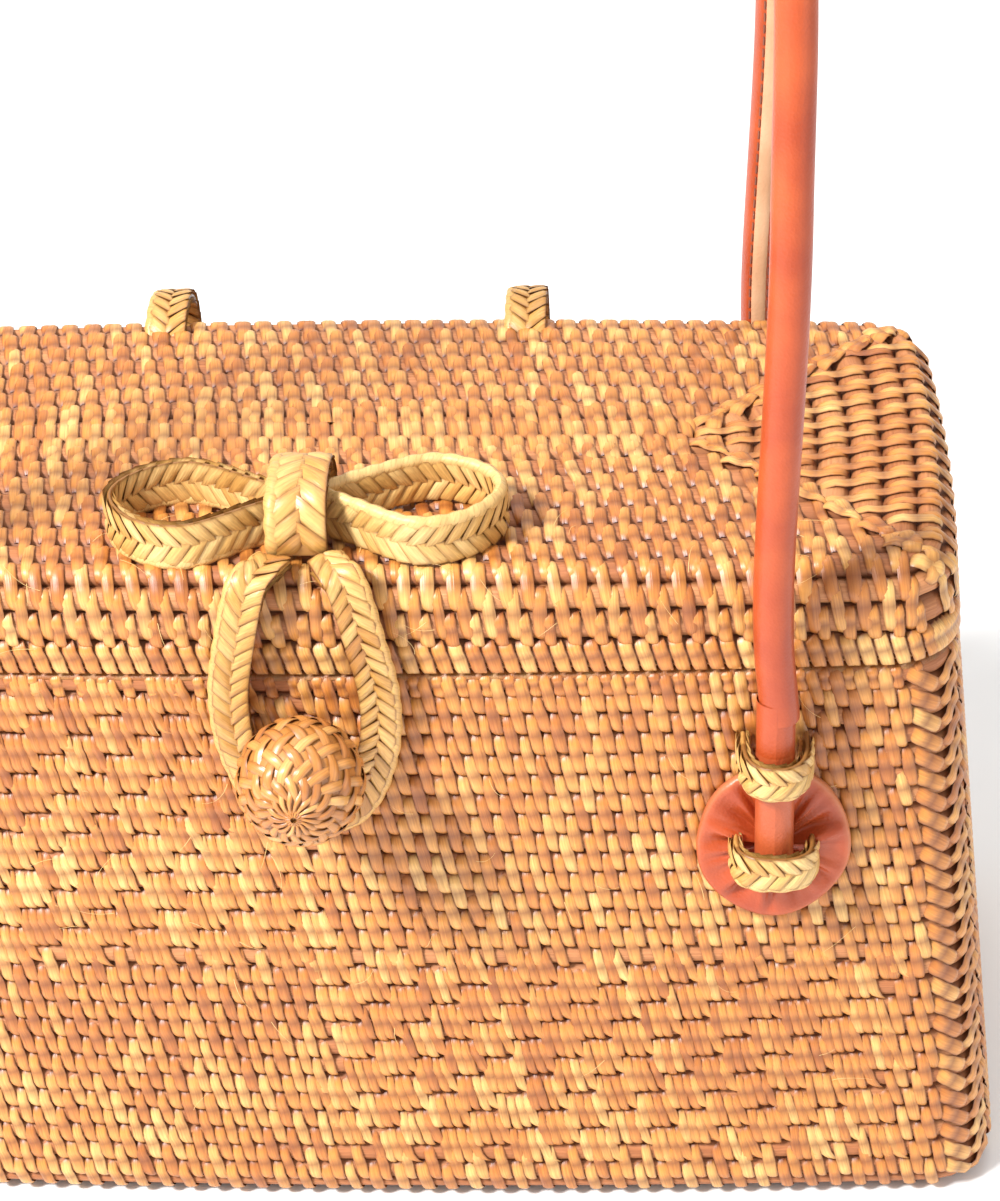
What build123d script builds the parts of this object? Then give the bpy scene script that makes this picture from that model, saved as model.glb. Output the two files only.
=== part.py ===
from build123d import *
from math import cos, radians, sin, sqrt
import os

# Basket box bag: a coiled grass basket with a hinged lid, a plaited bow whose
# closing loop hooks round a woven ball, and two rolled leather handles.
# Millimetres. X runs along the length, the front faces -Y, Z is up, and the
# origin is the middle of the flat base.

# ---- driving dimensions -------------------------------------------------
rim_length = 280          # basket at the seam, end to end at the corners
rim_depth = 118           # basket at the seam, front to back at the corners
base_length = 308         # basket at the floor
base_depth = 138
body_height = 144         # floor to seam
wall = 6                  # one coil with its wrapping
floor_thickness = 6
plan_corner = 17          # corner radius seen from above
foot_round = 7            # rounding of the bottom edge
long_bulge = 4            # how far the long walls belly out at their middle
short_bulge = 2.5         # the same for the end walls

lid_height = 24
lid_top = 6               # thickness of the lid's woven top
lid_edge_round = 8
lid_inset = 1             # the lid's top edge stands this far in from its rim

clearance = 0.3           # between pieces that only touch

hinge_loop_offset = 44    # each hinge loop from the middle
hinge_loop_width = 10
hinge_loop_thickness = 3
hinge_loop_radius = 11    # core line of the part that turns through the back wall
hinge_loop_bend = 5       # outer radius of its bends
hinge_loop_turn = 160     # degrees of its round part, through the body
hinge_loop_turn_start = -140
hinge_loop_rise = 4.3     # its top above the lid
hinge_loop_shoulder = 9   # its straight strands end this far below the lid's crown
hinge_loop_lean = 1.5     # how far its back strand leans in
hinge_loop_taper = 1      # its top corners stand this far in
hinge_standoff = 1.5      # hinge axis behind the back wall's belly
lid_slot_setback = 11     # slots in the lid, in from the rim's back corner line
slot_margin = 0.5         # round a hinge loop in its slots
slot_rim = 4              # wall left above the slots in the body

band_thickness = 3        # plaited straw band of the bow and the closing loop
bow_height = 10           # the bow's bands stand on edge
bow_reach = 44            # tip of a bow loop from the middle
bow_depth = 30            # front to back over a bow loop
bow_pinch = 7             # depth of the bow where the knot holds it
bow_start = 4.5           # its loops start this far from the middle
bow_neck = 7              # from there to where they open out
bow_neck_share = 0.4      # their half depth at the neck, as a share of the full one
bow_shoulder = 0.6        # where they are deepest, as a share of their reach
bow_skew = 0.02           # the front strand is deepest this much nearer the knot
bow_wall = 4              # from the knot's side to the hole in a loop
bow_setback = 20          # knot's middle behind the lid's front edge
knot_width = 13
knot_depth = 26
knot_height = 15
knot_round = 4

closing_loop_width = 9    # band of the closing loop
closing_loop_half = 20    # half the loop's outer width at its widest
closing_loop_drop = 38    # bottom of the loop below the seam
closing_loop_bend = 7     # core line's radius where it turns over the lid's edge
closing_loop_foot = 4.5   # the band narrows to this behind the ball
closing_loop_widest = 0.6 # widest this share of the way up from its bottom
closing_loop_toe_half = 0.7  # its half width near the bottom, as a share of the widest
closing_loop_toe = 4      # and this far above the bottom
closing_loop_heel = 5     # the hole's lower corners above its lowest point
closing_loop_throat = 3   # from the knot to the top of the hole

ball_diameter = 29
ball_drop = 14            # ball's middle below the seam
ball_gap = 4              # between the wall and the ball's back
stem_diameter = 5

handle_diameter = 8.5
handle_spread = 101       # each handle end from the middle
handle_straight = 160     # the strands run this far up before the arch turns
handle_rise = 260         # top of the arch above the bends at its ends
handle_lean = 42          # how far the arch leans in at its top
handle_bow = 0.5          # how far the strands bow outwards
arch_turns = (15, 42, 68) # degrees round the arch where its core line is set
handle_sink = 0.7         # depth the strap's core sinks into its leather end
bend_drop = 6             # the strap bends this far below the seam
bend_gap = 0.6            # between the strap and its tied-down end

end_width = 34            # oval leather end of a strap
end_tall = 38.2
end_thickness = 2.5
end_drop = 42.8           # its middle below the seam
end_round = 0.8
core_drop = 44.5          # lower end of the core, behind the lower tie
tie_thickness = 4
upper_tie_drop = 22.5     # each tie's lower edge below the seam
upper_tie_tall = 8.7
lower_tie_drop = 46.8
lower_tie_tall = 9
lower_tie_half = 10       # half its width

# ---- shapes that several pieces share -----------------------------------
seam = body_height
lid_bottom = body_height + clearance
lid_crown = lid_bottom + lid_height
hinge_y = rim_depth / 2 + long_bulge + hinge_standoff
bend_height = seam - bend_drop
end_height = seam - end_drop
core_bottom = seam - core_drop
upper_tie_bottom = seam - upper_tie_drop
lower_tie_bottom = seam - lower_tie_drop


def length_at(z):
    """Length of the basket at a height, corner to corner."""
    return base_length + (rim_length - base_length) * z / body_height


def depth_at(z):
    """Depth of the basket at a height, corner to corner."""
    return base_depth + (rim_depth - base_depth) * z / body_height


def wall_radius(z):
    """Radius of the long wall's belly at a height."""
    half = length_at(z) / 2
    return (half**2 + long_bulge**2) / (2 * long_bulge)


def wall_at(x, z):
    """How far the long wall's outer face stands from the middle at x and z."""
    radius = wall_radius(z)
    return depth_at(z) / 2 + long_bulge - radius + sqrt(radius**2 - x**2)


def outline(length, depth, height, inset=0):
    """The basket's plan at a height: four bellied sides with round corners."""
    x = length / 2 - inset
    y = depth / 2 - inset
    with BuildSketch(Plane.XY.offset(height)) as plan:
        with BuildLine():
            ThreePointArc((-x, -y), (0, -y - long_bulge), (x, -y))
            ThreePointArc((x, -y), (x + short_bulge, 0), (x, y))
            ThreePointArc((x, y), (0, y + long_bulge), (-x, y))
            ThreePointArc((-x, y), (-x - short_bulge, 0), (-x, -y))
        make_face()
        fillet(plan.vertices(), plan_corner - inset)
    return plan.sketch


os.makedirs("parts", exist_ok=True)


def save(part, name):
    part.label = name
    export_step(part, f"parts/{name}.step")


# ---- basket body --------------------------------------------------------
slot_width = hinge_loop_width + 2 * slot_margin
slot_reach = hinge_loop_radius + hinge_loop_thickness / 2 + slot_margin
slot_height = slot_reach - slot_rim

outer_plans = [
    outline(base_length, base_depth, 0),
    outline(rim_length, rim_depth, seam),
]
inner_plans = [
    outline(length_at(floor_thickness), depth_at(floor_thickness), floor_thickness, wall),
    outline(rim_length, rim_depth, seam, wall),
]

with BuildPart() as body:
    loft(outer_plans, ruled=True)
    bottom_edges = body.edges().group_by(Axis.Z)[0]
    fillet(bottom_edges, foot_round)
    loft(inner_plans, ruled=True, mode=Mode.SUBTRACT)
    for x in (-hinge_loop_offset, hinge_loop_offset):
        with Locations((x, hinge_y - wall, seam - slot_reach + slot_height / 2)):
            Box(slot_width, 4 * wall, slot_height, mode=Mode.SUBTRACT)
save(body.part, "basket_body")

# ---- lid ----------------------------------------------------------------
lid_slot_y = rim_depth / 2 - lid_slot_setback
lid_slot_depth = hinge_loop_thickness + 5 * slot_margin

lid_plans = [
    outline(rim_length, rim_depth, lid_bottom),
    outline(rim_length, rim_depth, lid_crown, lid_inset),
]
lid_hollow = outline(rim_length, rim_depth, lid_bottom, wall)

with BuildPart() as lid:
    loft(lid_plans, ruled=True)
    top_edges = lid.edges().group_by(Axis.Z)[-1]
    fillet(top_edges, lid_edge_round)
    extrude(lid_hollow, amount=lid_height - lid_top, mode=Mode.SUBTRACT)
    for x in (-hinge_loop_offset, hinge_loop_offset):
        with Locations((x, lid_slot_y, lid_crown - lid_top / 2)):
            Box(slot_width, lid_slot_depth, 2 * lid_top, mode=Mode.SUBTRACT)
save(lid.part, "lid")


# ---- hinge loops --------------------------------------------------------
def hinge_loop(x):
    """A plaited loop through the lid's top and the body's back wall.

    The stretch that runs through the body is an arc about the hinge axis, so
    it slides through its slot as the lid turns.
    """
    outer = hinge_loop_radius + hinge_loop_thickness / 2
    inside = lid_slot_y - hinge_loop_thickness / 2
    shoulder = lid_crown - hinge_loop_shoulder
    with BuildPart() as loop:
        with BuildSketch(Plane.YZ.offset(x - hinge_loop_width / 2)) as profile:
            with BuildLine():
                turning = CenterArc(
                    (hinge_y, seam), outer, hinge_loop_turn_start, hinge_loop_turn
                )
                Polyline(
                    turning @ 1,
                    (hinge_y + outer - hinge_loop_lean, shoulder),
                    (hinge_y + hinge_loop_taper, lid_crown + hinge_loop_rise),
                    (inside + hinge_loop_taper, lid_crown + hinge_loop_rise - 1),
                    (inside, shoulder),
                    turning @ 0,
                )
            make_face()
            bends = profile.vertices().filter_by(lambda v: v.Z > seam + hinge_loop_radius)
            fillet(bends, hinge_loop_bend)
            offset(amount=-hinge_loop_thickness, mode=Mode.SUBTRACT)
        extrude(amount=hinge_loop_width)
    return loop.part


save(hinge_loop(-hinge_loop_offset), "hinge_loop_left")
save(hinge_loop(hinge_loop_offset), "hinge_loop_right")

# ---- bow and its knot ---------------------------------------------------
bow_y = -rim_depth / 2 - long_bulge + bow_setback
bow_base = lid_crown + clearance


def bow_outline(side, start, reach, half_depth):
    """One loop of the bow seen from above, as a closed curve."""
    with BuildSketch(Plane.XY.offset(bow_base)) as loop:
        with BuildLine():
            Spline(
                (side * start, bow_y),
                (side * (start + bow_neck), bow_y + half_depth * bow_neck_share),
                (side * reach * (bow_shoulder + bow_skew), bow_y + half_depth),
                (side * reach, bow_y + 1),
                (side * reach * (bow_shoulder - bow_skew), bow_y - half_depth),
                (side * (start + bow_neck), bow_y - half_depth * bow_neck_share),
                periodic=True,
            )
        make_face()
    return loop.sketch


loop_plans = [bow_outline(side, bow_start, bow_reach, bow_depth / 2) for side in (-1, 1)]
hole_plans = [
    bow_outline(
        side, knot_width / 2 + bow_wall, bow_reach - band_thickness, bow_depth / 2 - band_thickness
    )
    for side in (-1, 1)
]

with BuildPart() as bow:
    with Locations((0, bow_y, bow_base + bow_height / 2)):
        Box(knot_width + 2, bow_pinch, bow_height)
    for plan in loop_plans:
        extrude(plan, amount=bow_height)
    for plan in hole_plans:
        extrude(plan, amount=bow_height, mode=Mode.SUBTRACT)
save(bow.part, "bow_band")

with BuildPart() as knot:
    with BuildSketch(Plane.XZ.offset(-bow_y - knot_depth / 2)):
        with Locations((0, bow_base + knot_height / 2)):
            RectangleRounded(knot_width, knot_height, knot_round)
    extrude(amount=knot_depth)
    fillet(knot.faces().sort_by(Axis.Y)[0].edges(), knot_round - 1)
    fillet(knot.faces().sort_by(Axis.Y)[-1].edges(), knot_round - 1)
    with Locations((0, bow_y, bow_base + (bow_height + clearance) / 2)):
        Box(2 * knot_width, bow_pinch + 2 * clearance, bow_height + clearance, mode=Mode.SUBTRACT)
save(knot.part, "bow_knot")

# ---- closing loop -------------------------------------------------------
# A band that leaves the knot, bends over the lid's front edge and hangs round
# the ball. Its side view is one bent strip, and its outline is drawn on a
# plane that looks at the lid's edge from halfway between above and in front.
loop_start = (bow_y - knot_depth / 2 - clearance, bow_base + band_thickness / 2)
loop_bottom = seam - closing_loop_drop
loop_face = -wall_at(0, loop_bottom) - clearance - band_thickness / 2
seen_start = (loop_start[0] + loop_start[1]) / sqrt(2)
seen_bend = (loop_face + loop_start[1]) / sqrt(2)
seen_end = (loop_face + loop_bottom) / sqrt(2)
toe_half = closing_loop_toe_half * closing_loop_half
seen_middle = seen_end + closing_loop_widest * (seen_bend - seen_end)

with BuildPart() as closing_loop:
    with BuildSketch(Plane.YZ):
        with BuildLine():
            FilletPolyline(
                loop_start,
                (loop_face, loop_start[1]),
                (loop_face, loop_bottom),
                radius=closing_loop_bend,
            )
        trace(line_width=band_thickness)
    extrude(amount=2 * closing_loop_half, both=True)
    with BuildSketch(Plane(origin=(0, 0, 0), x_dir=(1, 0, 0), z_dir=(0, -1, 1))):
        with BuildLine():
            Spline(
                (-closing_loop_width, seen_start),
                (-closing_loop_half, seen_middle),
                (-toe_half, seen_end + closing_loop_toe),
                (0, seen_end),
                (toe_half, seen_end + closing_loop_toe),
                (closing_loop_half, seen_middle),
                (closing_loop_width, seen_start),
            )
            Line((-closing_loop_width, seen_start), (closing_loop_width, seen_start))
        make_face()
        inner_half = closing_loop_half - closing_loop_width
        with BuildLine():
            Spline(
                (0, seen_end + closing_loop_foot),
                (inner_half + 1, seen_end + closing_loop_foot + closing_loop_heel),
                (inner_half, seen_middle),
                (0, seen_start - closing_loop_throat),
                (-inner_half, seen_middle),
                (-inner_half - 1, seen_end + closing_loop_foot + closing_loop_heel),
                periodic=True,
            )
        make_face(mode=Mode.SUBTRACT)
    extrude(amount=2 * body_height, both=True, mode=Mode.INTERSECT)
save(closing_loop.part, "closing_loop")

# ---- ball button and its stem -------------------------------------------
ball_z = seam - ball_drop
ball_back = -wall_at(0, ball_z) - ball_gap

with BuildPart() as ball:
    with Locations((0, ball_back - ball_diameter / 2, ball_z)):
        Sphere(ball_diameter / 2)
save(ball.part, "ball_button")

with BuildPart() as stem:
    with BuildSketch(Plane.XZ.offset(-ball_back - clearance / 3)):
        with Locations((0, ball_z)):
            Circle(stem_diameter / 2)
    extrude(amount=clearance - ball_gap + clearance / 3)
save(stem.part, "button_stem")

# ---- leather handles ----------------------------------------------------
strap_radius = handle_diameter / 2
strap_y = (
    wall_at(handle_spread, end_height)
    + clearance
    + end_thickness
    + strap_radius
    - handle_sink
)


def handle(side):
    """The rolled strap on one side, -1 for the front and 1 for the back.

    Its two strands stand up from their bends, and its arch leans inwards.
    """
    arch_rise = handle_rise - handle_straight
    half = [
        (handle_spread, 0),
        (handle_spread, handle_straight / 5),
        (handle_spread + handle_bow, handle_straight * 0.7),
    ]
    half += [
        (handle_spread * cos(turn), handle_straight + arch_rise * sin(turn))
        for turn in map(radians, arch_turns)
    ]
    route = half + [(0, handle_rise)] + [(-x, height) for x, height in reversed(half)]
    with BuildPart() as strap:
        with BuildLine() as core:
            Spline(
                *[
                    (x, side * (strap_y - handle_lean * (up / handle_rise) ** 2), bend_height + up)
                    for x, up in route
                ],
                tangents=[(0, 0, 1), (0, 0, -1)],
            )
        with BuildSketch(Plane(origin=core.line @ 0, z_dir=core.line % 0)):
            Circle(strap_radius)
        sweep()
        for x in (-handle_spread, handle_spread):
            with Locations((x, side * strap_y, bend_height)):
                Sphere(strap_radius)
    return strap.part


def leather_end(x, side):
    """The strap's flat round end, with the end of its core standing on it."""
    outward = Vector(
        x / wall_radius(end_height), side, (base_depth - rim_depth) / 2 / body_height
    ).normalized()
    back = Vector(x, side * wall_at(x, end_height), end_height) + outward * clearance
    core_top = bend_height - 2 * strap_radius - bend_gap
    with BuildPart() as end:
        with BuildSketch(Plane(origin=back, x_dir=Vector(0, 0, 1).cross(outward), z_dir=outward)):
            Ellipse(end_width / 2, end_tall / 2)
        extrude(amount=end_thickness)
        fillet(end.edges(), end_round)
        with BuildSketch(Plane.XY.offset(core_bottom)):
            with Locations((x, side * strap_y)):
                Circle(strap_radius)
        extrude(amount=core_top - core_bottom)
        with Locations((x, side * strap_y, core_top)):
            Sphere(strap_radius)
    return end.part


def tie(x, side, bottom, top, half_width, foot):
    """A plaited tie round the strap, open towards the basket's wall."""
    hole = strap_radius + clearance
    depth = strap_y - foot
    with BuildPart() as band:
        with BuildSketch(Plane.XY.offset(bottom)):
            with Locations((x, side * strap_y)):
                Ellipse(half_width, hole + tie_thickness)
            with Locations((x, side * (strap_y + foot) / 2)):
                Rectangle(2 * half_width, depth)
            with Locations((x, side * (foot - tie_thickness))):
                Rectangle(3 * half_width, 2 * tie_thickness, mode=Mode.SUBTRACT)
            with Locations((x, side * strap_y)):
                Circle(hole, mode=Mode.SUBTRACT)
            with Locations((x, side * (strap_y + foot) / 2)):
                Rectangle(2 * hole, depth, mode=Mode.SUBTRACT)
        extrude(amount=top - bottom)
    return band.part


for side, where in ((-1, "front"), (1, "back")):
    save(handle(side), f"{where}_handle")
    for x, hand in ((-handle_spread, "left"), (handle_spread, "right")):
        save(leather_end(x, side), f"leather_end_{where}_{hand}")
        upper_foot = wall_at(handle_spread, upper_tie_bottom) + clearance
        save(
            tie(
                x,
                side,
                upper_tie_bottom,
                upper_tie_bottom + upper_tie_tall,
                strap_radius + clearance + tie_thickness,
                upper_foot,
            ),
            f"upper_tie_{where}_{hand}",
        )
        lower_foot = (
            wall_at(handle_spread - lower_tie_half, lower_tie_bottom)
            + 2 * clearance
            + end_thickness
        )
        save(
            tie(
                x,
                side,
                lower_tie_bottom,
                lower_tie_bottom + lower_tie_tall,
                lower_tie_half,
                lower_foot,
            ),
            f"lower_tie_{where}_{hand}",
        )
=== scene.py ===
# %% [markdown]
# # A coiled-grass box bag
# The bag is coiled from bundles of grass laid row on row, and each row is sewn
# to the next with short wraps of split vine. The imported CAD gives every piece
# its place and size, and this file only gives the pieces their looks, so it
# starts by loading that frame and noting its box.

import math

import bpy
import numpy as np
from mathutils import Matrix, Vector


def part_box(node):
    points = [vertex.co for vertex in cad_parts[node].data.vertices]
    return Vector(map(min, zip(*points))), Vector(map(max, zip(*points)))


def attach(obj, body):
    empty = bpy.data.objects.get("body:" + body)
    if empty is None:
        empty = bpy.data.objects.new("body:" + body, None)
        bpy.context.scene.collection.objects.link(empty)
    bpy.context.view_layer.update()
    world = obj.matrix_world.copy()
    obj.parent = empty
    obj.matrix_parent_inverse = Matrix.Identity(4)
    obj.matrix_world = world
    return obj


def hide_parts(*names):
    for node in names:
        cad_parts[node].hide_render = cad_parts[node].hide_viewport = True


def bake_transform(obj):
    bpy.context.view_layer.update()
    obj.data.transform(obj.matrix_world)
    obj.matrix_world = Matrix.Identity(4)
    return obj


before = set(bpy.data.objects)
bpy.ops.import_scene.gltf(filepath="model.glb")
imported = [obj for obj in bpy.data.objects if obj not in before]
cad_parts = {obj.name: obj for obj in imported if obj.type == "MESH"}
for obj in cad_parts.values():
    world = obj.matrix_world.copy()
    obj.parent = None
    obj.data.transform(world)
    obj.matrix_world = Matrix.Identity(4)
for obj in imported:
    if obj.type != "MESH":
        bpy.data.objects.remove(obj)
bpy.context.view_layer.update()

# %% [markdown]
# ## Sizes taken from the frame
# Everything is in metres. The walls belly out a little between their corners
# and flare towards the floor, so the basket is described by its half length
# and half depth at the floor and at the seam, and by two small bulges.

# %% Basket sizes
MM = 0.001
body_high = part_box("basket_body")[1]
lid_low, lid_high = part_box("lid")
long_bulge = 4 * MM
short_bulge = 2.5 * MM
plan_corner = 17 * MM
foot_round = 7 * MM
wall = 6 * MM
lid_edge_round = 8 * MM
lid_inset = 1 * MM
seam = body_high.z
lid_bottom = lid_low.z
lid_crown = lid_high.z
lid_height = lid_crown - lid_bottom
rim_half_length = lid_high.x - short_bulge
rim_half_depth = lid_high.y - long_bulge
flare_share = 1 - foot_round / seam
base_half_length = rim_half_length + (body_high.x - short_bulge - rim_half_length) / flare_share
base_half_depth = rim_half_depth + (body_high.y - long_bulge - rim_half_depth) / flare_share
print("seam", round(seam, 4), "rim", round(rim_half_length, 4), round(rim_half_depth, 4))
print("base", round(base_half_length, 4), round(base_half_depth, 4))

# %% [markdown]
# ## The surfaces that the weave lies on
# A row of weave needs two numbers: how far along the side a point is, and how
# far up the wall. One function turns those into a place on the bellied plan,
# round corners included, and two more use it for the walls and for the lid,
# whose rows climb its edge and then run inwards over its top like the courses
# of a log cabin. Lifting a point along the surface's own slope puts every
# wrap and coil at its true height whatever the wall is doing.

# %% The plan and its four sides
def points_at(x, y, z):
    return np.stack(np.broadcast_arrays(x, y, z), -1)


def plan_point(side, u, half_length, half_depth, corner):
    """A place on the plan, u along one side: 0 front, 1 right, 2 back, 3 left."""
    along, out, bulge, next_bulge = half_length, half_depth, long_bulge, short_bulge
    if side % 2:
        along, out, bulge, next_bulge = half_depth, half_length, short_bulge, long_bulge
    centre = along + next_bulge * (1 - ((out - corner) / out) ** 2) - corner
    centre_out = out + bulge * (1 - ((along - corner) / along) ** 2) - corner
    turn = np.clip((np.abs(u) - centre) / corner, 0, math.pi / 2)
    straight = out + bulge * (1 - (u / along) ** 2)
    round_corner = np.abs(u) > centre
    t = np.where(round_corner, np.sign(u) * (centre + corner * np.sin(turn)), u)
    d = np.where(round_corner, centre_out + corner * np.cos(turn), straight)
    turned = {0: (t, -d), 1: (d, t), 2: (-t, d), 3: (-d, -t)}
    return turned[side]


def side_reach(side, half_length, half_depth, corner):
    """How far along a side its zone runs, to the middle of the round corner."""
    along, out, next_bulge = half_length, half_depth, short_bulge
    if side % 2:
        along, out, next_bulge = half_depth, half_length, long_bulge
    centre = along + next_bulge * (1 - ((out - corner) / out) ** 2) - corner
    return centre + corner * math.pi / 4


# %% The walls and the lid as surfaces
def wall_sizes(z):
    """Half length, half depth and corner radius of the walls at a height."""
    share = z / seam
    low = np.clip(foot_round - z, 0, foot_round)
    inset = foot_round - np.sqrt(foot_round**2 - low**2)
    length = base_half_length + (rim_half_length - base_half_length) * share - inset
    depth = base_half_depth + (rim_half_depth - base_half_depth) * share - inset
    return length, depth, plan_corner - inset


def wall_surface(side, u, z):
    return points_at(*plan_point(side, u, *wall_sizes(z)), z)


def inner_sizes(z):
    length, depth = wall_sizes(z)[:2]
    return length - wall, depth - wall, plan_corner - wall


def inner_surface(side, u, z):
    return points_at(*plan_point(side, u, *inner_sizes(z)), z)


lid_side = lid_height - lid_edge_round
lid_bend = lid_edge_round * math.pi / 2


def lid_sizes(q):
    """Half length, half depth, corner radius and height, q up the lid and in."""
    turn = np.clip((q - lid_side) / lid_edge_round, 0, math.pi / 2)
    over = np.clip(q - lid_side - lid_bend, 0, None)
    z = lid_bottom + np.clip(q, 0, lid_side) + lid_edge_round * np.sin(turn)
    inset = lid_inset * (z - lid_bottom) / lid_height
    inset = inset + lid_edge_round * (1 - np.cos(turn)) + over
    corner = np.clip(plan_corner - inset, 1.2 * MM, None)
    return rim_half_length - inset, rim_half_depth - inset, corner, z


def lid_surface(side, u, q):
    length, depth, corner, z = lid_sizes(q)
    depth = np.clip(depth, 1.5 * MM, None)
    return points_at(*plan_point(side, u, length, depth, corner), z)


def slope(surface, side, u, v):
    """The outward direction of a surface at u and v."""
    step = 2e-5
    du = surface(side, u + step, v) - surface(side, u - step, v)
    dv = surface(side, u, v + step) - surface(side, u, v - step)
    out = np.cross(du, dv)
    return out / np.maximum(np.linalg.norm(out, axis=-1, keepdims=True), 1e-12)


def lift(surface, side, u, v, height):
    """Points that stand a height off a surface."""
    u, v, height = np.broadcast_arrays(u, v, height)
    return surface(side, u, v) + slope(surface, side, u, v) * height[..., None]


# %% [markdown]
# ## From grids of points to a mesh
# A wrap, a coil or a leaf of the plait is always the same thing in Blender
# terms: a small grid of points. Building thousands of them by hand would be
# slow, so one helper joins a whole stack of grids into one mesh, and stores
# on every point where it lies across and along its strip and how dark its
# fibre is. The materials read those three numbers.

# %% Mesh helpers
def rings(line, first, second, wide, tall):
    """Rings of points round a line, wide along one direction and tall along the other."""
    first, second = first[..., None, :] * wide[..., None], second[..., None, :] * tall[..., None]
    return line[..., None, :] + first + second


def round_turn(steps):
    return np.linspace(0, 2 * math.pi, steps)


AXIS_X = np.array([1.0, 0, 0])
AXIS_Z = np.array([0, 0, 1.0])


def grid_mesh(name, patches):
    """One mesh from a list of (points, across, along, tone), each one grid or a stack."""
    points, strips, quads, start = [], [], [], 0
    for place, across, along, tone in patches:
        place = place if place.ndim == 4 else place[None]
        n, rows, cols = place.shape[:3]
        strip = np.stack(np.broadcast_arrays(across, along, tone), -1)
        index = start + np.arange(n * rows * cols).reshape(n, rows, cols)
        corners = [index[:, :-1, :-1], index[:, :-1, 1:], index[:, 1:, 1:], index[:, 1:, :-1]]
        quads.append(np.stack(corners, -1).reshape(-1, 4))
        points.append(place.reshape(-1, 3))
        strips.append(np.broadcast_to(strip, place.shape).reshape(-1, 3))
        start += n * rows * cols
    points, strips, quads = (np.concatenate(part) for part in (points, strips, quads))
    mesh = bpy.data.meshes.new(name)
    mesh.vertices.add(len(points))
    mesh.vertices.foreach_set("co", points.astype(np.float32).ravel())
    mesh.loops.add(quads.size)
    mesh.loops.foreach_set("vertex_index", quads.astype(np.int32).ravel())
    mesh.polygons.add(len(quads))
    mesh.polygons.foreach_set("loop_start", np.arange(0, quads.size, 4, dtype=np.int32))
    mesh.polygons.foreach_set("use_smooth", np.ones(len(quads), bool))
    mesh.update(calc_edges=True)
    data = mesh.attributes.new("strip", "FLOAT_VECTOR", "POINT")
    data.data.foreach_set("vector", strips.astype(np.float32).ravel())
    piece = bpy.data.objects.new(name, mesh)
    bpy.context.scene.collection.objects.link(piece)
    print(name, 2 * len(quads), "triangles")
    return piece


def place_piece(piece, body, slot, material, *nodes):
    """Give a piece its body and its finish, and hide the nodes it stands for. The slot is not used."""
    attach(piece, body)
    piece.data.materials.append(material)
    if nodes:
        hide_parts(*nodes)


def make_piece(name, patches, body, slot, material, *nodes):
    place_piece(grid_mesh(name, patches), body, slot, material, *nodes)


def place_weave(name, patches, body, material, node):
    make_piece(name, patches, body, "ata_weave", material, node)


# %% [markdown]
# ## Fibre finishes
# Split vine and grass are bundles of fine parallel fibres. Their colour runs
# from pale straw through honey to a pinkish brown, from strip to strip more
# than within one, and their skin is satin with a slight gloss. So the colour
# comes from the strip's own tone, streaks follow its length, and shade is
# painted on its ends, where it dives under its neighbour, and on its edges,
# where it meets the next strip or coil. A wrap gets painted shade in its
# middle too, where it dips between two coils. One node group makes the
# streaks and the painted shade masks for all of these finishes, and each
# material sets its own colours.

# %% Node group: fibre streaks
def sockets(group, ins, outs):
    """Give a node group its inputs, with their first values, and its outputs."""
    for name, value in ins:
        made = group.interface.new_socket(name, in_out="INPUT", socket_type="NodeSocketFloat")
        made.default_value = value
    for name in outs:
        group.interface.new_socket(name, in_out="OUTPUT", socket_type="NodeSocketFloat")


def feed(tree, socket, value):
    """Set a socket to a number or a colour, or link another one to it."""
    if isinstance(value, (int, float)):
        socket.default_value = value
    elif isinstance(value, tuple):
        socket.default_value = (*value, 1)
    else:
        tree.links.new(value, socket)


def math_node(tree, operation, first, second=None, clamp=False):
    node = tree.nodes.new("ShaderNodeMath")
    node.operation = operation
    node.use_clamp = clamp
    feed(tree, node.inputs[0], first)
    if second is not None:
        feed(tree, node.inputs[1], second)
    return node.outputs[0]


def noise_node(tree, vector, scale, detail):
    node = tree.nodes.new("ShaderNodeTexNoise")
    node.inputs["Scale"].default_value = scale
    node.inputs["Detail"].default_value = detail
    tree.links.new(vector, node.inputs["Vector"])
    return node.outputs[0]


def strip_numbers(tree):
    """The three numbers stored on every point: across, along and tone."""
    strip = tree.nodes.new("ShaderNodeAttribute")
    strip.attribute_name = "strip"
    parts = tree.nodes.new("ShaderNodeSeparateXYZ")
    tree.links.new(strip.outputs["Vector"], parts.inputs[0])
    return parts.outputs


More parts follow.
